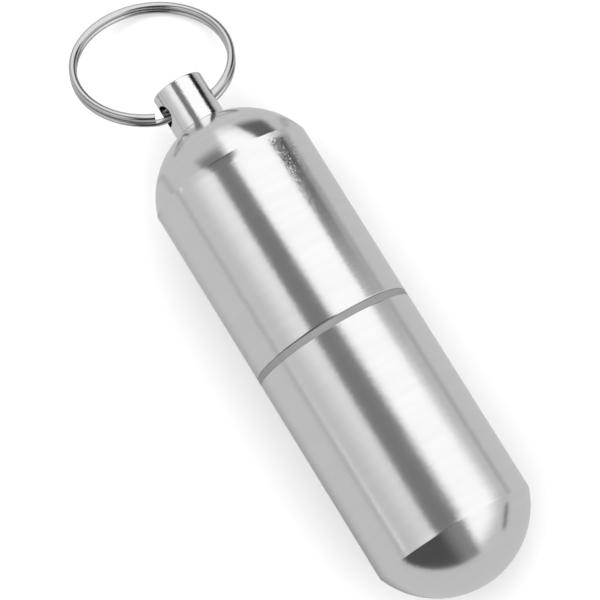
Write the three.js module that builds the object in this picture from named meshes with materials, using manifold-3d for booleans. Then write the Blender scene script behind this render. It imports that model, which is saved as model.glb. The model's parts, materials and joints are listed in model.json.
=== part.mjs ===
// Keychain pill capsule: a screw-together metal capsule with a split ring through its end post.
// Millimetres, +Z up. The capsule lies on its side along X, with its round bottom towards +X
// and its ring drooping onto the same surface at -X.
import * as THREE from 'three';
import { mergeVertices } from 'three/addons/utils/BufferGeometryUtils.js';
import Module from 'manifold-3d';

const wasm = await Module();
wasm.setup();

// ---- Driving dimensions ----
const CAPSULE_RADIUS = 12.5;
const FACETS = 48;                 // sides of every turned piece
const OUTER_DOME_STEPS = 10;
const INNER_DOME_STEPS = 8;
const CAP_LENGTH = 27.85;          // straight wall of the cap
const BODY_LENGTH = 32.6;          // straight wall of the body
const SEAL_WIDTH = 1.3;            // room between the cap's rim and the body's shoulder
const CAP_DOME_HEIGHT = 9.1;
const BODY_DOME_HEIGHT = 8.6;
const EDGE_BREAK = 0.3;            // softened rims and edges
const SHOULDER_EDGE_BREAK = 0.1;   // the body's crisper edge beside the seal

// Inside
const CAP_BORE_RADIUS = 11.3;
const CAP_DOME_BORE_HEIGHT = 6.2;
const BODY_BORE_RADIUS = 9.5;      // one straight bore, through the neck
const BODY_BOTTOM_THICKNESS = 1.8;
const NECK_RADIUS = 10.3;          // root of the outer thread
const NECK_LENGTH = 8;

// Thread, right-handed
const THREAD_PITCH = 2;
const THREAD_DEPTH = 0.7;
const THREAD_ROOT_WIDTH = 0.9;
const THREAD_CREST_WIDTH = 0.4;
const THREAD_SINK = 0.2;           // how far a ridge runs into its wall
const THREAD_SET_BACK = 0.9;       // from a rim to the nearest end of its ridge
const NECK_THREAD_TURNS = 2.5;
const CAP_THREAD_TURNS = 3;
const STEPS_PER_TURN = 24;

// Post
const POST_RADIUS = 4;
const POST_HEIGHT = 6.5;           // above the top of the dome
const POST_HOLE_RADIUS = 1.7;
const POST_HOLE_BELOW_END = 3.36;
const POST_HOLE_SIDES = 32;
const POST_ROLL = THREE.MathUtils.degToRad(25);
const SPIGOT_RADIUS = 2.5;
const SPIGOT_LENGTH = 2.3;
const SPIGOT_CLEARANCE = 0.1;

// Seal
const SEAL_CLEARANCE = 0.3;        // round the root of the neck's thread

// Split ring: one flat wire wound twice
const RING_OUTER_RADIUS = 12.45;
const RING_WIRE_WIDTH = 1.15;      // across the ring's plane
const RING_WIRE_THICKNESS = 0.8;
const RING_WIRE_CORNER = 0.22;
const RING_LAYER_PITCH = 0.9;
const RING_END_GAP = 0.07;         // part of a turn between the two ends, where the wire crosses over
const RING_CENTRE_OFFSET = 11;     // from the post's hole
const RING_SIDE_SLIP = -0.34;      // its play along the hole
const RING_SINK = 0.1;             // its play across the hole
const RING_TILT = THREE.MathUtils.degToRad(1.4);
const RING_DROOP = THREE.MathUtils.degToRad(26.1);
const RING_YAW = THREE.MathUtils.degToRad(4.4);
const RING_STEPS = 144;

// Small running gap between neighbours that touch face to face
const FACE_GAP = 0.08;

// Points closer than this are one corner
const WELD_DISTANCE = 1e-4;

// ---- Places along the capsule's axis, from the middle of the seal ----
const capRim = -SEAL_WIDTH / 2;
const bodyShoulder = SEAL_WIDTH / 2;
const capCrease = capRim - CAP_LENGTH;
const bodyCrease = bodyShoulder + BODY_LENGTH;
const capApex = capCrease - CAP_DOME_HEIGHT;
const postEnd = capApex - POST_HEIGHT;
const holeCentre = postEnd + POST_HOLE_BELOW_END;
const neckEnd = bodyShoulder - NECK_LENGTH;
const neckThreadStart = neckEnd + THREAD_SET_BACK;
const capThreadStart = capRim - THREAD_SET_BACK - CAP_THREAD_TURNS * THREAD_PITCH;

const at = (axial, radius) => new THREE.Vector2(radius, axial);

// Points of a spherical cap's arc, from its rim to its top on the axis.
// direction is +1 for a dome that bulges towards +X and -1 towards -X.
function domeArc(rimAxial, rimRadius, height, direction, steps, stopRadius = 0) {
  const sphere = (rimRadius ** 2 + height ** 2) / (2 * height);
  const centre = height - sphere;
  const start = Math.asin(rimRadius / sphere);
  const stop = Math.asin(stopRadius / sphere);
  const points = [];
  for (let i = 0; i <= steps; i += 1) {
    const angle = THREE.MathUtils.lerp(start, stop, i / steps);
    const axial = rimAxial + direction * (centre + sphere * Math.cos(angle));
    points.push(at(axial, i === steps ? stopRadius : sphere * Math.sin(angle)));
  }
  return points;
}

// A turned piece about X, with a flat facet facing straight down. A profile runs towards +X
// along the outside and back towards -X along the inside.
function turned(profile) {
  const halfFacet = Math.PI / FACETS;
  const geometry = new THREE.LatheGeometry(profile, FACETS, halfFacet);
  return geometry.rotateZ(-Math.PI / 2);
}

// A bare geometry as a solid for joining and cutting.
function solid(geometry) {
  const bare = geometry.clone();
  bare.deleteAttribute('normal');
  bare.deleteAttribute('uv');
  const welded = mergeVertices(bare, WELD_DISTANCE);
  const corners = welded.index.array;
  const triangles = [];
  for (let i = 0; i < corners.length; i += 3) {
    const [a, b, c] = [corners[i], corners[i + 1], corners[i + 2]];
    if (a !== b && b !== c && c !== a) triangles.push(a, b, c);
  }
  const vertProperties = welded.attributes.position.array;
  const triVerts = new Uint32Array(triangles);
  return new wasm.Manifold(new wasm.Mesh({ numProp: 3, vertProperties, triVerts }));
}

function geometryOf(manifold) {
  const { vertProperties, triVerts } = manifold.getMesh();
  const geometry = new THREE.BufferGeometry();
  geometry.setAttribute('position', new THREE.BufferAttribute(vertProperties, 3));
  geometry.setIndex(new THREE.BufferAttribute(triVerts, 1));
  geometry.computeVertexNormals();
  return geometry;
}

// A straight bar of the given section, bent so that its length follows place(along, x, y).
// along runs from 0 to 1, and x and y are the section's own coordinates.
function bentBar(section, steps, place) {
  const shape = new THREE.Shape(section);
  const geometry = new THREE.ExtrudeGeometry(shape, { depth: 1, steps, bevelEnabled: false });
  const position = geometry.attributes.position;
  for (let i = 0; i < position.count; i += 1) {
    const bent = place(position.getZ(i), position.getX(i), position.getY(i));
    position.setXYZ(i, bent.x, bent.y, bent.z);
  }
  return geometry;
}

// One helical thread ridge about X. side is +1 for a ridge on the outside of a neck
// and -1 for one on the inside of a bore. It starts at axial place start.
function threadRidge(wallRadius, side, start, turns, phase) {
  const base = THREAD_ROOT_WIDTH / 2;
  const crest = THREAD_CREST_WIDTH / 2;
  const section = [
    new THREE.Vector2(-THREAD_SINK, -base),
    new THREE.Vector2(THREAD_DEPTH, -crest),
    new THREE.Vector2(THREAD_DEPTH, crest),
    new THREE.Vector2(-THREAD_SINK, base),
  ];
  return bentBar(section, Math.round(turns * STEPS_PER_TURN), (along, x, y) => {
    const angle = phase + along * turns * Math.PI * 2;
    const radius = wallRadius + side * x;
    const axial = start + along * turns * THREAD_PITCH - side * y;
    return new THREE.Vector3(axial, radius * Math.cos(angle), radius * Math.sin(angle));
  });
}

function metal(colour, roughness) {
  return new THREE.MeshStandardMaterial({ color: colour, roughness, metalness: 1 });
}

function piece(name, geometry, material) {
  const mesh = new THREE.Mesh(geometry, material);
  mesh.name = name;
  return mesh;
}

// The cap's outer dome, cut off flat where it is as wide as the post that stands on it.
const capDome = () => domeArc(capCrease, CAPSULE_RADIUS, CAP_DOME_HEIGHT, -1, OUTER_DOME_STEPS, POST_RADIUS);
const postSeat = capDome()[OUTER_DOME_STEPS].y;

// ---- Cap shell: dome with a flat seat and hole for the post, bore with an inner thread ----
function capShell() {
  const spigotHole = SPIGOT_RADIUS + SPIGOT_CLEARANCE;
  const inner = domeArc(capCrease, CAP_BORE_RADIUS, CAP_DOME_BORE_HEIGHT, -1, INNER_DOME_STEPS, spigotHole);
  const profile = [
    at(capRim, CAP_BORE_RADIUS + EDGE_BREAK),
    at(capRim - EDGE_BREAK, CAP_BORE_RADIUS),
    ...inner,
    at(postSeat, spigotHole),
    ...capDome().reverse(),
    at(capRim - EDGE_BREAK, CAPSULE_RADIUS),
    at(capRim, CAPSULE_RADIUS - EDGE_BREAK),
    at(capRim, CAP_BORE_RADIUS + EDGE_BREAK),
  ];
  const ridge = threadRidge(CAP_BORE_RADIUS, -1, capThreadStart, CAP_THREAD_TURNS, 0);
  return geometryOf(solid(turned(profile)).add(solid(ridge)));
}

// ---- Ring post: stud with a cross hole and a spigot that is pressed into the dome ----
function ringPost() {
  const foot = postSeat - FACE_GAP;
  const profile = [
    at(postEnd, 0),
    at(postEnd, POST_RADIUS - EDGE_BREAK),
    at(postEnd + EDGE_BREAK, POST_RADIUS),
    at(foot, POST_RADIUS),
    at(foot, SPIGOT_RADIUS),
    at(foot + SPIGOT_LENGTH - EDGE_BREAK, SPIGOT_RADIUS),
    at(foot + SPIGOT_LENGTH, SPIGOT_RADIUS - EDGE_BREAK),
    at(foot + SPIGOT_LENGTH, 0),
  ];
  const drillLength = POST_RADIUS * 3;
  const drill = new THREE.CylinderGeometry(POST_HOLE_RADIUS, POST_HOLE_RADIUS, drillLength, POST_HOLE_SIDES);
  drill.rotateX(-POST_ROLL).translate(holeCentre, 0, 0);
  return geometryOf(solid(turned(profile)).subtract(solid(drill)));
}

// ---- Body shell: round-bottomed tube with a threaded neck ----
function bodyShell() {
  const outer = domeArc(bodyCrease, CAPSULE_RADIUS, BODY_DOME_HEIGHT, 1, OUTER_DOME_STEPS);
  const boreDepth = BODY_DOME_HEIGHT - BODY_BOTTOM_THICKNESS;
  const inner = domeArc(bodyCrease, BODY_BORE_RADIUS, boreDepth, 1, INNER_DOME_STEPS);
  const profile = [
    ...inner.reverse(),
    at(neckEnd, BODY_BORE_RADIUS),
    at(neckEnd, NECK_RADIUS - EDGE_BREAK),
    at(neckEnd + EDGE_BREAK, NECK_RADIUS),
    at(bodyShoulder, NECK_RADIUS),
    at(bodyShoulder, CAPSULE_RADIUS - SHOULDER_EDGE_BREAK),
    at(bodyShoulder + SHOULDER_EDGE_BREAK, CAPSULE_RADIUS),
    ...outer,
  ];
  // Half a turn round from the cap's ridge, so that each ridge runs between the other's turns.
  const phase = ((neckThreadStart - capThreadStart) / THREAD_PITCH) * Math.PI * 2 + Math.PI;
  const ridge = threadRidge(NECK_RADIUS, 1, neckThreadStart, NECK_THREAD_TURNS, phase);
  return geometryOf(solid(turned(profile)).add(solid(ridge)));
}

// ---- Seal ring: flat grey gasket, clamped between the cap's rim and the body's shoulder ----
function sealRing() {
  const inner = NECK_RADIUS + SEAL_CLEARANCE;
  const low = capRim + FACE_GAP;
  const high = bodyShoulder - FACE_GAP;
  const profile = [
    at(low, inner),
    at(high, inner),
    at(high, CAPSULE_RADIUS),
    at(low, CAPSULE_RADIUS),
    at(low, inner),
  ].reverse();
  return turned(profile);
}

// ---- Split ring: a flat wire wound twice. It crosses from one layer to the other in the gap
// between its own ends. ----
function splitRing() {
  const halfWidth = RING_WIRE_WIDTH / 2;
  const halfThickness = RING_WIRE_THICKNESS / 2;
  const corner = RING_WIRE_CORNER;
  const section = [
    new THREE.Vector2(-halfWidth, -halfThickness + corner),
    new THREE.Vector2(-halfWidth + corner, -halfThickness),
    new THREE.Vector2(halfWidth - corner, -halfThickness),
    new THREE.Vector2(halfWidth, -halfThickness + corner),
    new THREE.Vector2(halfWidth, halfThickness - corner),
    new THREE.Vector2(halfWidth - corner, halfThickness),
    new THREE.Vector2(-halfWidth + corner, halfThickness),
    new THREE.Vector2(-halfWidth, halfThickness - corner),
  ];
  const middleRadius = RING_OUTER_RADIUS - halfWidth;
  const turns = 2 - RING_END_GAP;
  return bentBar(section, RING_STEPS, (along, x, y) => {
    const turn = along * turns;
    const angle = turn * Math.PI * 2;
    const layer = THREE.MathUtils.smoothstep(turn, 1 - RING_END_GAP, 1) - 0.5;
    const radius = middleRadius + x;
    const height = layer * RING_LAYER_PITCH - y;
    return new THREE.Vector3(radius * Math.cos(angle), radius * Math.sin(angle), height);
  });
}

// ---- Materials ----
const shellMetal = () => metal(0xd6d6d8, 0.22);
const postMetal = metal(0xdcdcde, 0.15);
const ringSteel = metal(0xb9bbbf, 0.18);
const sealGrey = new THREE.MeshStandardMaterial({ color: 0x8f9092, roughness: 0.75, metalness: 0 });

// ---- Assembly ----
const organizer = new THREE.Group();
organizer.add(piece('cap_shell', capShell(), shellMetal()));
organizer.add(piece('ring_post', ringPost(), postMetal));
organizer.add(piece('body_shell', bodyShell(), shellMetal()));
organizer.add(piece('seal_ring', sealRing(), sealGrey));

// The ring hangs a little askew in the post's cross hole, which is rolled round the capsule's axis.
const hole = new THREE.Group();
hole.position.set(holeCentre, 0, 0);
hole.rotation.set(-POST_ROLL, 0, 0);
const droop = new THREE.Group();
droop.rotation.set(0, -RING_DROOP, 0);
const yaw = new THREE.Group();
yaw.rotation.set(0, 0, -RING_YAW);
const tilt = new THREE.Group();
tilt.rotation.set(RING_TILT, 0, 0);
const ring = piece('split_ring', splitRing(), ringSteel);
ring.position.set(-RING_CENTRE_OFFSET, RING_SIDE_SLIP, -RING_SINK);
tilt.add(ring);
yaw.add(tilt);
droop.add(yaw);
hole.add(droop);
organizer.add(hole);

// The origin is below the middle of the whole, on the surface that it lies on.
organizer.updateMatrixWorld(true);
const box = new THREE.Box3().setFromObject(organizer, true);
const middle = box.getCenter(new THREE.Vector3());
organizer.position.set(-middle.x, -middle.y, -box.min.z);

export default organizer;
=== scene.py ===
"""The looks of a metal key-chain pill capsule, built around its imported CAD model."""
import json
import math

import bpy
from mathutils import Matrix, Vector

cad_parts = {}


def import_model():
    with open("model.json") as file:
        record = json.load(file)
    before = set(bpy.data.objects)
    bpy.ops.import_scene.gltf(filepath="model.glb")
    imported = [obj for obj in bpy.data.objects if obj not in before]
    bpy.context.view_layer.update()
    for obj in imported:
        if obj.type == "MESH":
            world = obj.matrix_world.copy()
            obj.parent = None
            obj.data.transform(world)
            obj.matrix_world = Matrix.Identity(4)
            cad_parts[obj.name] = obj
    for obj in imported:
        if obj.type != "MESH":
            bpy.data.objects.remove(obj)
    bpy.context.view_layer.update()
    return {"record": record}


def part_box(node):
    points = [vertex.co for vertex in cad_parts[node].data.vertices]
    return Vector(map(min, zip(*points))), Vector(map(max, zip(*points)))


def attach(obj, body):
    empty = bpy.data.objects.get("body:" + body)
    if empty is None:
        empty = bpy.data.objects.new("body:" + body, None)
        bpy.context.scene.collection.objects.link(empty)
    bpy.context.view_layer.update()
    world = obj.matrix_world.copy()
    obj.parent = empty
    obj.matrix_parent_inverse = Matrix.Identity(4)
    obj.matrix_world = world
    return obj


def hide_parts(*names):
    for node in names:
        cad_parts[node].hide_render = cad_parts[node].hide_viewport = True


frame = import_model()
MM = 0.001


# ---------------------------------------------------------------- dimensions
def joint(name):
    return next(j for j in frame["record"]["behaviour"]["joints"] if j["name"] == name)


CAD_FACETS = 48                         # sides of the CAD model's turned pieces
AXIS = Vector(joint("body_unscrew")["pos_m"])      # middle of the seal, on the capsule's axis
HOLE = Vector(joint("ring_swing")["pos_m"])        # middle of the post's cross hole
HOLE_AXIS = Vector(joint("ring_swing")["axis"]).normalized()


def along(node, end):
    """How far a CAD node's low (0) or high (1) end is from the seal's middle, along the capsule."""
    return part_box(node)[end].x - AXIS.x


RADIUS = (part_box("seal_ring")[1].y - AXIS.y) / math.cos(math.pi / CAD_FACETS)
CAP_RIM = along("cap_shell", 1)
BODY_SHOULDER = -CAP_RIM
CAP_LIP = 0.26 * MM                     # the rim reaches this far past the CAD's, for a narrower band
CAP_WALL = 27.85 * MM
CAP_CREASE = CAP_RIM - CAP_WALL
CAP_BURR = 0.015 * MM                   # height of the hairline where the wall meets the dome
BODY_BURR = 0.005 * MM
CAP_DOME = 9.1 * MM
BODY_DOME = 8.6 * MM
BODY_CREASE = along("body_shell", 1) - BODY_DOME
POST_END = along("ring_post", 0)
POST_RADIUS = 4.0 * MM
SPIGOT_END = along("ring_post", 1)
NECK_END = along("body_shell", 0)
CAP_BORE = 11.3 * MM
CAP_BORE_DOME = 6.2 * MM
BODY_BORE = 9.5 * MM
BODY_BORE_DOME = 6.8 * MM
NECK = 10.3 * MM
SPIGOT = 2.5 * MM
HOLE_RADIUS = 1.7 * MM
PITCH = 2.0 * MM
THREAD_DEPTH = 0.7 * MM
THREAD_BASE = 0.9 * MM
THREAD_CREST = 0.4 * MM
THREAD_SET_BACK = 0.9 * MM              # from a rim to the nearest end of its ridge
CAP_THREAD_TURNS = 3
NECK_THREAD_TURNS = 2.5
THREAD_ROW = 0.09 * MM                  # between rows of points along a thread
WALL_ROW = 1.5 * MM                     # and along a plain wall
CAP_THREAD_START = CAP_RIM - THREAD_SET_BACK - CAP_THREAD_TURNS * PITCH
RING_OUTER = 12.45 * MM
WIRE_WIDTH = 1.15 * MM
WIRE_THICKNESS = 0.8 * MM
WIRE_FLATS = (0.92, 0.9)                # below 1 squares up the wire's oval section, across and through
LAYERS_CLOSED = 0.84 * MM               # between the ring's layers, opposite its ends
LAYERS_SPREAD = 0.30 * MM               # and this much more beside its ends
END_GAP = 0.07                          # part of a turn between the ring's ends
RING_DROOP = math.radians(26.1)
RING_YAW = math.radians(4.4)
RING_TILT = math.radians(1.4)
RING_CENTRE = Vector((-10.92, -0.34, -0.12)) * MM     # from the hole's middle, before it droops
LAYER_SLIP = Vector((0.14, -0.04, 0)) * MM            # of the lower layer against the upper one
BESIDE = 0.05 * MM                      # a row this near a rounded edge keeps the wall flat
SEGMENTS = 192
SHELL_SHARP = 13                        # degrees between faces, past which an edge is drawn sharp
CAMERA_LEAN = math.radians(-4.8)        # how far round the capsule the camera stands, towards -Y


# ---------------------------------------------------------------- camera
def make_camera():
    heading = math.radians(58.13)    # the capsule's axis runs down to the right by this much
    tilt = math.radians(10.18)       # and its round bottom comes towards the camera by this much
    distance = 433.9 * MM            # from the seal's middle
    seam_right, seam_up = 4.76 * MM, -5.45 * MM      # where the seal's middle is in the view
    a = Vector((math.cos(heading) * math.cos(tilt), -math.sin(heading) * math.cos(tilt), math.sin(tilt)))
    z = (Vector((0, 0, 1)) - a * a.z).normalized()
    y = z.cross(a)
    to_camera = Matrix((a, y, z)).transposed()
    to_row = Matrix.Rotation(CAMERA_LEAN, 3, "X") @ to_camera.transposed()
    data = bpy.data.cameras.new("camera")
    data.lens = 180
    data.sensor_width = 36
    data.clip_start, data.clip_end = 0.01, 20
    camera = bpy.data.objects.new("camera", data)
    bpy.context.scene.collection.objects.link(camera)
    place = AXIS - to_row @ Vector((seam_right, seam_up, -distance))
    camera.matrix_world = Matrix.Translation(place) @ to_row.to_4x4()
    bpy.context.scene.camera = camera


# ---------------------------------------------------------------- mesh helpers
def link_mesh(name, vertices, faces, sharp_degrees, uvs=None):
    mesh = bpy.data.meshes.new(name)
    mesh.from_pydata([tuple(v) for v in vertices], [], faces)
    if uvs:
        layer = mesh.uv_layers.new(name="along")
        for loop in mesh.loops:
            layer.data[loop.index].uv = uvs[loop.vertex_index]
    mesh.validate()
    mesh.polygons.foreach_set("use_smooth", [True] * len(mesh.polygons))
    mesh.set_sharp_from_angle(angle=math.radians(sharp_degrees))
    piece = bpy.data.objects.new(name, mesh)
    bpy.context.scene.collection.objects.link(piece)
    return piece


def revolve(name, profile, sharp_degrees=SHELL_SHARP, segments=SEGMENTS, closed=False):
    """Turns a profile of (place along the axis, radius or function of angle) about the axis. A
    closed profile joins its last point to its first."""
    vertices, faces, rings = [], [], []
    for x, radius in profile:
        if not callable(radius) and radius < 1e-7:
            vertices.append(AXIS + Vector((x, 0, 0)))
            rings.append([len(vertices) - 1])
            continue
        ring = []
        for i in range(segments):
            turn = 2 * math.pi * i / segments
            r = radius(turn) if callable(radius) else radius
            ring.append(len(vertices))
            vertices.append(AXIS + Vector((x, r * math.cos(turn), r * math.sin(turn))))
        rings.append(ring)
    pairs = list(zip(rings, rings[1:]))
    if closed:
        pairs.append((rings[-1], rings[0]))
    for low, high in pairs:
        for i in range(segments):
            j = (i + 1) % segments
            if len(low) == 1:
                faces.append((low[0], high[j], high[i]))
            elif len(high) == 1:
                faces.append((low[i], low[j], high[0]))
            else:
                faces.append((low[i], low[j], high[j], high[i]))
    return link_mesh(name, vertices, faces, sharp_degrees)


def dome(rim, rim_radius, height, direction, steps, stop=0.0):
    """A spherical cap's arc from its rim to the radius stop."""
    sphere = (rim_radius ** 2 + height ** 2) / (2 * height)
    first, last = math.asin(rim_radius / sphere), math.asin(stop / sphere)
    points = []
    for i in range(steps + 1):
        turn = first + (last - first) * i / steps
        x = rim + direction * (height - sphere + sphere * math.cos(turn))
        points.append((x, sphere * math.sin(turn)))
    return points


def rounded(x, radius, size, start, end, steps=9):
    """A quarter-round edge about the centre (x, radius), from angle start to end in degrees."""
    points = []
    for i in range(steps + 1):
        turn = math.radians(start + (end - start) * i / steps)
        points.append((x + size * math.cos(turn), radius + size * math.sin(turn)))
    return points


def crease(x, radius, height):
    """The hairline burr that the turning tool leaves where the wall meets a dome."""
    half = 0.07 * MM
    return [(x - half, radius), (x, radius + height), (x + half, radius)]


def rows(first, last, step):
    """Even places from first to last, about a step apart."""
    count = max(1, round(abs(last - first) / step))
    return [first + (last - first) * i / count for i in range(count + 1)]


def thread(x, wall, side, start, turns, phase):
    """The wall's radius at place x as a function of the angle, with a helical ridge on it."""
    def radius(turn):
        offset = (x - start) / PITCH - (turn - phase) / (2 * math.pi)
        off_centre = (offset - round(offset)) * PITCH
        ridge_place = (x - off_centre - start) / PITCH
        fade = min(1.0, max(0.0, ridge_place * 6)) * min(1.0, max(0.0, (turns - ridge_place) * 6))
        flank = (THREAD_BASE - THREAD_CREST) / 2
        height = min(1.0, max(0.0, (THREAD_BASE / 2 - abs(off_centre)) / flank))
        return wall + side * THREAD_DEPTH * height * fade
    return radius


# ---------------------------------------------------------------- shells
def cap_shell():
    """The domed upper shell, with its thread inside and the post's hole in its dome."""
    edge, mouth, rim = 0.24 * MM, 0.2 * MM, CAP_RIM + CAP_LIP
    outer = dome(CAP_CREASE, RADIUS, CAP_DOME, -1, 60, POST_RADIUS)
    inner = dome(CAP_CREASE, CAP_BORE, CAP_BORE_DOME, -1, 40, SPIGOT)
    seat = outer[-1][0]
    profile = rounded(rim - mouth, CAP_BORE + mouth, mouth, 0, -90)
    for x in rows(CAP_RIM - 0.3 * MM, CAP_THREAD_START - 0.8 * MM, THREAD_ROW):
        profile.append((x, thread(x, CAP_BORE, -1, CAP_THREAD_START, CAP_THREAD_TURNS, 0)))
    profile += inner + [(seat, SPIGOT)] + outer[:1:-1] + crease(CAP_CREASE, RADIUS, CAP_BURR)
    profile += [(x, RADIUS) for x in rows(CAP_CREASE, rim - edge - BESIDE, WALL_ROW)[1:]]
    profile += rounded(rim - edge, RADIUS - edge, edge, 90, 0)
    return revolve("cap_shell_fine", profile, closed=True)


def body_shell():
    """The round-bottomed lower shell, with its threaded neck half a turn out of step with the cap's
    thread, so that the ridges lie between each other."""
    edge, soft = 0.05 * MM, 0.3 * MM
    start = NECK_END + THREAD_SET_BACK
    phase = (start - CAP_THREAD_START) / PITCH * 2 * math.pi + math.pi
    profile = dome(BODY_CREASE, BODY_BORE, BODY_BORE_DOME, 1, 40)[::-1]
    profile += rounded(NECK_END + soft, BODY_BORE + soft, soft, 270, 180)
    profile += rounded(NECK_END + soft, NECK - soft, soft, 180, 90)
    for x in rows(NECK_END + 0.4 * MM, BODY_SHOULDER - 0.1 * MM, THREAD_ROW):
        profile.append((x, thread(x, NECK, 1, start, NECK_THREAD_TURNS, phase)))
    profile.append((BODY_SHOULDER, NECK))
    profile += rounded(BODY_SHOULDER + edge, RADIUS - edge, edge, 180, 90)
    profile += [(x, RADIUS) for x in rows(BODY_SHOULDER + edge + BESIDE, BODY_CREASE, WALL_ROW)[:-1]]
    profile += crease(BODY_CREASE, RADIUS, BODY_BURR) + dome(BODY_CREASE, RADIUS, BODY_DOME, 1, 60)[2:]
    return revolve("body_shell_fine", profile)


def seal_ring():
    """The flat gasket, a hair inside the shells' faces and their wall."""
    edge, inner, gap = 0.03 * MM, NECK + 0.25 * MM, 0.004 * MM
    low, high = CAP_RIM + CAP_LIP + gap, BODY_SHOULDER - gap
    outer = RADIUS - 0.015 * MM
    profile = [(high, inner), (low, inner)]
    profile += rounded(low + edge, outer - edge, edge, 180, 90)
    profile += rounded(high - edge, outer - edge, edge, 90, 0)
    return revolve("seal_ring_fine", profile, closed=True)


def ring_post():
    """The stud on the dome, with its spigot, drilled across for the ring."""
    edge, foot_edge, spigot_edge, sharp_degrees = 0.28 * MM, 0.05 * MM, 0.2 * MM, 30
    foot = dome(CAP_CREASE, RADIUS, CAP_DOME, -1, 1, POST_RADIUS)[-1][0] - 0.03 * MM
    spigot = SPIGOT - 0.02 * MM
    profile = [(POST_END, 0)]
    profile += [(POST_END, r) for r in rows(0.4 * MM, POST_RADIUS - edge, 0.6 * MM)[:-1]]
    profile += rounded(POST_END + edge, POST_RADIUS - edge, edge, 180, 90)
    profile += [(x, POST_RADIUS) for x in rows(POST_END + edge, foot - foot_edge, 0.2 * MM)[1:]]
    profile += [(foot, POST_RADIUS - foot_edge), (foot, spigot), (SPIGOT_END - spigot_edge, spigot)]
    profile += [(SPIGOT_END, spigot - spigot_edge), (SPIGOT_END, 0)]
    post = revolve("ring_post_fine", profile, sharp_degrees)
    length = 4 * POST_RADIUS
    bpy.ops.mesh.primitive_cylinder_add(vertices=128, radius=HOLE_RADIUS, depth=length, location=HOLE)
    drill = bpy.context.object
    drill.rotation_mode = "QUATERNION"
    drill.rotation_quaternion = HOLE_AXIS.to_track_quat("Z", "Y")
    cut = post.modifiers.new("hole", "BOOLEAN")
    cut.operation, cut.solver, cut.object = "DIFFERENCE", "EXACT", drill
    bpy.context.view_layer.update()
    apply_modifiers(post)
    bpy.data.objects.remove(drill)
    post.data.polygons.foreach_set("use_smooth", [True] * len(post.data.polygons))
    post.data.set_sharp_from_angle(angle=math.radians(sharp_degrees))
    return post


def apply_modifiers(piece):
    """Replaces the piece's mesh with the one that its modifiers make."""
    evaluated = piece.evaluated_get(bpy.context.evaluated_depsgraph_get())
    mesh = bpy.data.meshes.new_from_object(evaluated)
    piece.modifiers.clear()
    piece.data = mesh


# ---------------------------------------------------------------- split ring
def split_ring():
    """One wire wound twice. It crosses between the layers in the gap between its square-cut ends."""
    roll = math.atan2(-HOLE_AXIS.z, HOLE_AXIS.y)
    turn = Matrix.Rotation(-roll, 3, "X") @ Matrix.Rotation(-RING_DROOP, 3, "Y")
    turn = turn @ Matrix.Rotation(-RING_YAW, 3, "Z") @ Matrix.Rotation(RING_TILT, 3, "X")
    turns, steps, around = 2 - END_GAP, 480, 32
    section = []
    for i in range(around):
        a = 2 * math.pi * i / around
        c, s = math.cos(a), math.sin(a)
        section.append((math.copysign(abs(c) ** WIRE_FLATS[0], c) * WIRE_WIDTH / 2,
                        math.copysign(abs(s) ** WIRE_FLATS[1], s) * WIRE_THICKNESS / 2))
    vertices, faces, uvs = [], [], []
    for k in range(steps + 1):
        wound = k / steps * turns
        angle = wound * 2 * math.pi
        layer = min(1.0, max(0.0, (wound - 1 + END_GAP) / END_GAP))
        layer = layer * layer * (3 - 2 * layer)
        pitch = LAYERS_CLOSED + LAYERS_SPREAD * (0.5 + 0.5 * math.cos(angle))
        slip = LAYER_SLIP * (1 - layer)
        out = Vector((math.cos(angle), math.sin(angle), 0))
        for i, (w, h) in enumerate(section):
            radius = RING_OUTER - WIRE_WIDTH / 2 + w
            spot = out * radius + slip + Vector((0, 0, (layer - 0.5) * pitch + h))
            vertices.append(HOLE + turn @ (RING_CENTRE + spot))
            uvs.append((wound, i / around))
    for k in range(steps):
        for i in range(around):
            j = (i + 1) % around
            low, high = k * around, (k + 1) * around
            faces.append((low + j, low + i, high + i, high + j))
    faces.append(tuple(range(around)))
    faces.append(tuple(steps * around + i for i in reversed(range(around))))
    return link_mesh("split_ring_fine", vertices, faces, 40, uvs)


# ---------------------------------------------------------------- materials
class Nodes:
    """Short ways to add nodes to one tree."""

    def __init__(self, tree):
        self.tree = tree

    def add(self, kind, inputs=None, **settings):
        node = self.tree.nodes.new(kind)
        for key, value in settings.items():
            setattr(node, key, value)
        for key, value in (inputs or {}).items():
            if isinstance(value, bpy.types.NodeSocket):
                self.tree.links.new(value, node.inputs[key])
            else:
                node.inputs[key].default_value = value
        return node

    def math(self, operation, a, b=0.0, c=0.0):
        return self.add("ShaderNodeMath", {0: a, 1: b, 2: c}, operation=operation).outputs[0]

    def dot(self, a, b):
        return self.add("ShaderNodeVectorMath", {0: a, 1: b}, operation="DOT_PRODUCT").outputs["Value"]

    def noise(self, vector, scale, detail=2.0, roughness=0.5):
        inputs = {"Vector": vector, "Scale": scale, "Detail": detail, "Roughness": roughness}
        return self.add("ShaderNodeTexNoise", inputs).outputs["Fac"]

    def remap(self, value, low, high, to_low, to_high, smooth=True):
        kind = "SMOOTHSTEP" if smooth else "LINEAR"
        inputs = {"Value": value, "From Min": low, "From Max": high, "To Min": to_low, "To Max": to_high}
        return self.add("ShaderNodeMapRange", inputs, interpolation_type=kind).outputs["Result"]

    def mix(self, factor, dark, light):
        inputs = {"Factor": factor, 6: (*dark, 1), 7: (*light, 1)}
        return self.add("ShaderNodeMix", inputs, data_type="RGBA").outputs[2]

    def bump(self, height, distance, strength=1.0):
        inputs = {"Strength": strength, "Distance": distance, "Height": height}
        return self.add("ShaderNodeBump", inputs).outputs[0]

    def feed(self, shader, colour, roughness, normal):
        self.tree.links.new(colour, shader.inputs["Base Color"])
        self.tree.links.new(roughness, shader.inputs["Roughness"])
        self.tree.links.new(normal, shader.inputs["Normal"])


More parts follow.
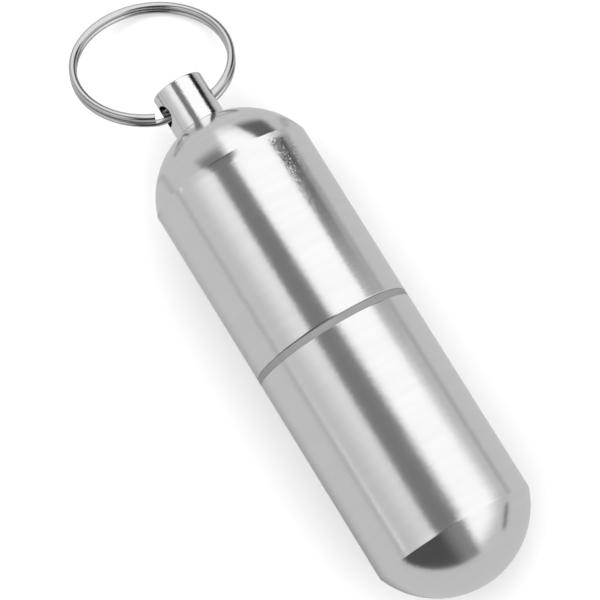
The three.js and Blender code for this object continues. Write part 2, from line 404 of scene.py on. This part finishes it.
def new_material(name):
    material = bpy.data.materials.new(name)
    material.use_nodes = True
    nodes = Nodes(material.node_tree)
    return material, nodes, material.node_tree.nodes["Principled BSDF"]


def turned_metal(name, colour, roughness, side, grain_level=0.06, matt_patch=0.0):
    """Polished metal with fine turning marks round the capsule's axis. side is the end that the
    marks close in on: -1 for the ring's end and +1 for the round bottom. matt_patch is how far
    tiny dents tip the surface in a narrow worn patch on the +Y side, beside the dome."""
    material, nodes, shader = new_material(name)
    place = nodes.add("ShaderNodeTexCoord").outputs["Object"]
    centred = nodes.add("ShaderNodeVectorMath", {0: place, 1: AXIS}, operation="SUBTRACT").outputs[0]
    parts = nodes.add("ShaderNodeSeparateXYZ", {0: centred}).outputs
    square_z = nodes.math("MULTIPLY", parts[2], parts[2])
    radius = nodes.math("SQRT", nodes.math("MULTIPLY_ADD", parts[1], parts[1], square_z))
    line = nodes.math("MULTIPLY_ADD", radius, -side, parts[0])
    safe = nodes.math("MAXIMUM", radius, 1e-4)
    unit_y = nodes.math("DIVIDE", parts[1], safe)
    unit_z = nodes.math("DIVIDE", parts[2], safe)

    def rings(stretch):
        """A place whose features run round the axis; stretch is the radius that they follow."""
        y = nodes.math("MULTIPLY", unit_y, stretch)
        z = nodes.math("MULTIPLY", unit_z, stretch)
        return nodes.add("ShaderNodeCombineXYZ", {0: line, 1: y, 2: z}).outputs[0]

    # turning marks, broader waves and a fine grain, 1.4 micrometres deep
    fine = nodes.noise(rings(0.9 * MM), 5200, 3.0, 0.6)
    broad = nodes.noise(rings(0.9 * MM), 900, 2.0, 0.5)
    grain = nodes.noise(centred, 2600, 2.0, 0.6)
    height = nodes.math("MULTIPLY_ADD", grain, 0.35, nodes.math("MULTIPLY_ADD", broad, 0.8, fine))
    grooved = nodes.bump(height, 0.0014 * MM)
    # each turning mark wavers a little round the axis, which frays the edges of reflections
    chatter = nodes.noise(rings(3.5 * MM), 5200, 2.0, 0.6)
    waver = nodes.math("SUBTRACT", chatter, 0.5)
    speckle = nodes.noise(centred, 7000, 1.0, 0.5)
    # the worn patch fades away from the dome and stops at the crease
    outward = nodes.add("ShaderNodeCombineXYZ", {1: unit_y, 2: unit_z}).outputs[0]
    facing = nodes.dot(outward, (0, 0.70, 0.71))
    near_dome = nodes.remap(parts[0], -27 * MM, -6 * MM, 1, 0)
    on_wall = nodes.remap(parts[0], CAP_CREASE, CAP_CREASE + 0.2 * MM, 0, 1)
    worn = nodes.math("MULTIPLY", nodes.remap(facing, 0.95, 0.985, 0, matt_patch), near_dome)
    worn = nodes.math("MULTIPLY", worn, on_wall)
    dents = nodes.remap(speckle, 0.52, 0.68, 0, 1)
    sway = nodes.math("MULTIPLY", nodes.math("SUBTRACT", speckle, 0.5), grain_level)
    sway = nodes.math("MULTIPLY_ADD", dents, worn, sway)
    sway = nodes.math("MULTIPLY_ADD", waver, 0.06, sway)
    back_z = nodes.math("MULTIPLY", unit_z, -1.0)
    round_axis = nodes.add("ShaderNodeCombineXYZ", {0: 0.0, 1: back_z, 2: unit_y}).outputs[0]
    tangent = nodes.add("ShaderNodeVectorTransform", {0: round_axis}, vector_type="VECTOR",
                        convert_from="OBJECT", convert_to="WORLD").outputs[0]
    push = nodes.add("ShaderNodeVectorMath", {0: tangent, "Scale": sway}, operation="SCALE").outputs[0]
    normal = nodes.add("ShaderNodeVectorMath", {0: grooved, 1: push}, operation="ADD").outputs[0]
    normal = nodes.add("ShaderNodeVectorMath", {0: normal}, operation="NORMALIZE").outputs[0]
    wear = nodes.noise(centred, 160, 4.0, 0.6)
    rough = nodes.remap(wear, 0.3, 0.7, roughness * 0.85, roughness * 1.2, False)
    shade = nodes.remap(broad, 0.3, 0.7, 0.97, 1.0, False)
    shader.inputs["Metallic"].default_value = 1.0
    nodes.feed(shader, nodes.mix(shade, (0, 0, 0), colour), rough, normal)
    return material


def drawn_steel():
    """Bright plated spring wire with drawing lines along it."""
    material, nodes, shader = new_material("plated_spring_steel")
    uv = nodes.add("ShaderNodeTexCoord").outputs["UV"]
    stretched = nodes.add("ShaderNodeMapping", {"Vector": uv, "Scale": (1.5, 34, 1)}).outputs[0]
    lines = nodes.noise(stretched, 3.0, 3.0, 0.6)
    place = nodes.add("ShaderNodeTexCoord").outputs["Object"]
    grain = nodes.noise(place, 3000, 2.0)
    height = nodes.math("MULTIPLY_ADD", grain, 0.3, lines)
    tone = nodes.mix(lines, (0.54, 0.545, 0.55), (0.78, 0.78, 0.79))
    rough = nodes.remap(lines, 0.3, 0.7, 0.07, 0.15, False)
    shader.inputs["Metallic"].default_value = 1.0
    nodes.feed(shader, tone, rough, nodes.bump(height, 0.004 * MM))
    return material


def grey_rubber():
    """Smooth grey rubber, a little cloudy and finely grained."""
    material, nodes, shader = new_material("grey_seal_rubber")
    place = nodes.add("ShaderNodeTexCoord").outputs["Object"]
    fine = nodes.noise(place, 9000, 2.0, 0.6)
    cloud = nodes.noise(place, 500, 3.0, 0.5)
    tone = nodes.mix(cloud, (0.195, 0.195, 0.20), (0.28, 0.28, 0.285))
    rough = nodes.remap(cloud, 0.3, 0.7, 0.5, 0.68, False)
    nodes.feed(shader, tone, rough, nodes.bump(fine, 0.006 * MM, 0.6))
    return material


# ---------------------------------------------------------------- studio
# The metal reflects a pale tent with soft boxes and dark cards. A direction in it is given in
# degrees from straight above the capsule as the camera leans: lengthwise (towards the round
# bottom) and across (towards +Y). Each edge has its place and how soft it is, in degrees.
TENT = 0.585
BACKDROP = 0.93                         # what the camera sees past the floor


def make_world():
    world = bpy.data.worlds.new("studio")
    bpy.context.scene.world = world
    world.use_nodes = True
    nodes = Nodes(world.node_tree)
    heading = nodes.add("ShaderNodeTexCoord").outputs["Generated"]
    cos, sin = math.cos(CAMERA_LEAN), math.sin(CAMERA_LEAN)
    px = nodes.dot(heading, (1, 0, 0))
    py = nodes.dot(heading, (0, cos, sin))
    pz = nodes.dot(heading, (0, -sin, cos))
    spread = nodes.math("SQRT", nodes.math("MULTIPLY_ADD", px, px, nodes.math("MULTIPLY", py, py)))
    angle = nodes.math("MULTIPLY", nodes.math("ARCCOSINE", pz), math.degrees(1))
    factor = nodes.math("DIVIDE", angle, nodes.math("MAXIMUM", spread, 1e-4))
    across = nodes.math("MULTIPLY", factor, py)
    lengthwise = nodes.math("MULTIPLY", factor, px)

    def past(value, edge, soft):
        """1 where value is past the edge, with a soft change this many degrees wide."""
        over = nodes.math("DIVIDE", nodes.math("SUBTRACT", value, edge), soft)
        return nodes.remap(over, -0.5, 0.5, 0, 1)

    def before(value, edge, soft):
        return nodes.math("SUBTRACT", 1.0, past(value, edge, soft))

    def both(*masks):
        result = masks[0]
        for mask in masks[1:]:
            result = nodes.math("MULTIPLY", result, mask)
        return result

    def span(value, low, low_soft, high, high_soft):
        """1 where value is between a low and a high edge."""
        return both(past(value, low, low_soft), before(value, high, high_soft))

    def line(value, slope, offset):
        return nodes.math("MULTIPLY_ADD", value, slope, offset)

    light = nodes.math("ADD", TENT, 0.0)

    def lay(mask, brightness):
        nonlocal light
        light = nodes.math("MULTIPLY_ADD", nodes.math("SUBTRACT", brightness, light), mask, light)

    # the tent's dim lower edge on the -Y side, a fold on each side, and a bright slit by one fold
    lay(before(across, -140, 44), 0.34)
    lay(both(span(across, -82, 4, -74, 4), before(lengthwise, 40, 6)), 0.47)
    lay(both(span(across, 94, 5, 103, 6), before(lengthwise, -4, 8)), 0.42)
    lay(both(span(across, -72.5, 1, -70, 1), span(lengthwise, -9.5, 2, 20, 8)), 1.1)
    # the weaker soft box on the -Y side
    glow = nodes.remap(lengthwise, -16, -5, 0.98, 0.72, False)
    lay(both(span(across, -44, 34, 5, 4), span(lengthwise, -47, 14, 40, 10)), glow)
    # the main soft box, with round corners
    to_body_end, to_ring_end = 83, -94
    reach = nodes.math("MAXIMUM", nodes.math("DIVIDE", lengthwise, to_body_end),
                       nodes.math("DIVIDE", lengthwise, to_ring_end))
    breadth = nodes.math("DIVIDE", across, 77)
    square_reach = nodes.math("POWER", reach, 2)
    outer = nodes.math("SQRT", nodes.math("ADD", nodes.math("POWER", breadth, 2), square_reach))
    lay(both(past(across, 10, 6), before(outer, 0.97, 0.34)), 1.10)
    # the dark slot that the camera looks through; it bends towards -Y past the dome's crease
    past_crease = nodes.math("ADD", lengthwise, 20)
    bend = nodes.math("MULTIPLY", nodes.math("MINIMUM", past_crease, 0.0), 0.35)
    low = nodes.math("ADD", bend, line(nodes.math("MAXIMUM", lengthwise, -20), -0.5, -25))
    high = nodes.math("MAXIMUM", nodes.math("MINIMUM", line(lengthwise, 1.5, 28), 19.0), 4.5)
    high_soft = nodes.remap(lengthwise, -12, -4, 7, 17, False)
    depth = nodes.remap(lengthwise, -4, 4, 0.20, 0.04)
    lay(both(span(across, low, 7, high, high_soft), span(lengthwise, -65, 20, 36, 8)), depth)
    # the dark room past the round bottom, and a stand in it
    room = nodes.remap(across, -22, 2, 0.075, 0.235)
    above_floor = before(angle, 91, 6)
    lay(both(past(lengthwise, 32, 8), span(across, -84, 6, 18, 10), above_floor), room)
    stand_low = line(lengthwise, -0.68, 114.5)
    stand_high = line(lengthwise, -0.68, 121.5)
    lay(both(span(lengthwise, 49, 8, 79, 8), span(across, stand_low, 5, stand_high, 5)), 0.1)
    # the black card past the ring's end
    card_end = line(across, -0.22, 2.4)
    card_low = nodes.math("MINIMUM", line(past_crease, 0.5, 69), 69.0)
    card_high = line(past_crease, 0.3, 93)
    card_tone = nodes.remap(lengthwise, -60, -25, 0.12, 0.0)
    lay(both(span(across, card_low, 5, card_high, 8), span(lengthwise, -88, 16, card_end, 6)), card_tone)

    camera = nodes.add("ShaderNodeLightPath").outputs["Is Camera Ray"]
    lay(camera, BACKDROP)
    background = world.node_tree.nodes["Background"]
    nodes.tree.links.new(light, background.inputs["Strength"])
    background.inputs["Color"].default_value = (1, 1, 1, 1)


def make_floor():
    mesh = bpy.data.meshes.new("floor")
    side = 2.0
    corners = [(-side, -side, 0), (side, -side, 0), (side, side, 0), (-side, side, 0)]
    mesh.from_pydata(corners, [], [(0, 1, 2, 3)])
    floor = bpy.data.objects.new("floor", mesh)
    bpy.context.scene.collection.objects.link(floor)
    material, nodes, shader = new_material("pale_paper")
    place = nodes.add("ShaderNodeTexCoord").outputs["Object"]
    fibre = nodes.noise(place, 900, 4.0, 0.6)
    tone = nodes.mix(fibre, (0.90, 0.90, 0.90), (0.92, 0.92, 0.92))
    nodes.tree.links.new(tone, shader.inputs["Base Color"])
    shader.inputs["Roughness"].default_value = 0.9
    shader.inputs["Specular IOR Level"].default_value = 0.1
    mesh.materials.append(material)
    floor.visible_glossy = False


def make_lights():
    """One wide overhead panel that the metal doesn't reflect."""
    data = bpy.data.lights.new("overhead", "AREA")
    data.shape, data.size, data.energy = "SQUARE", 2.4, 28
    light = bpy.data.objects.new("overhead", data)
    light.location = (0, 0, 1.2)
    light.visible_glossy = False
    bpy.context.scene.collection.objects.link(light)


# ---------------------------------------------------------------- assembly
def place(piece, body, node, slot, material):
    """Puts a fine piece on its body, in the place of its CAD node."""
    piece.data.materials.clear()
    piece.data.materials.append(material)
    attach(piece, body)
    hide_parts(node)


make_camera()
make_world()
make_floor()
make_lights()
bpy.context.scene.view_settings.view_transform = "Standard"

shell_grey = (0.875, 0.875, 0.88)
post_grey = (0.9, 0.9, 0.905)
cap_metal = turned_metal("cap_aluminium", shell_grey, 0.15, side=-1, grain_level=0.05, matt_patch=0.16)
body_metal = turned_metal("body_aluminium", shell_grey, 0.17, side=1)
post_metal = turned_metal("post_aluminium", post_grey, 0.12, side=-1, grain_level=0.2)
place(cap_shell(), "cap", "cap_shell", "shell_metal", cap_metal)
place(body_shell(), "body", "body_shell", "shell_metal", body_metal)
place(ring_post(), "cap", "ring_post", "post_metal", post_metal)
place(seal_ring(), "seal", "seal_ring", "seal_rubber", grey_rubber())
place(split_ring(), "ring", "split_ring", "ring_steel", drawn_steel())
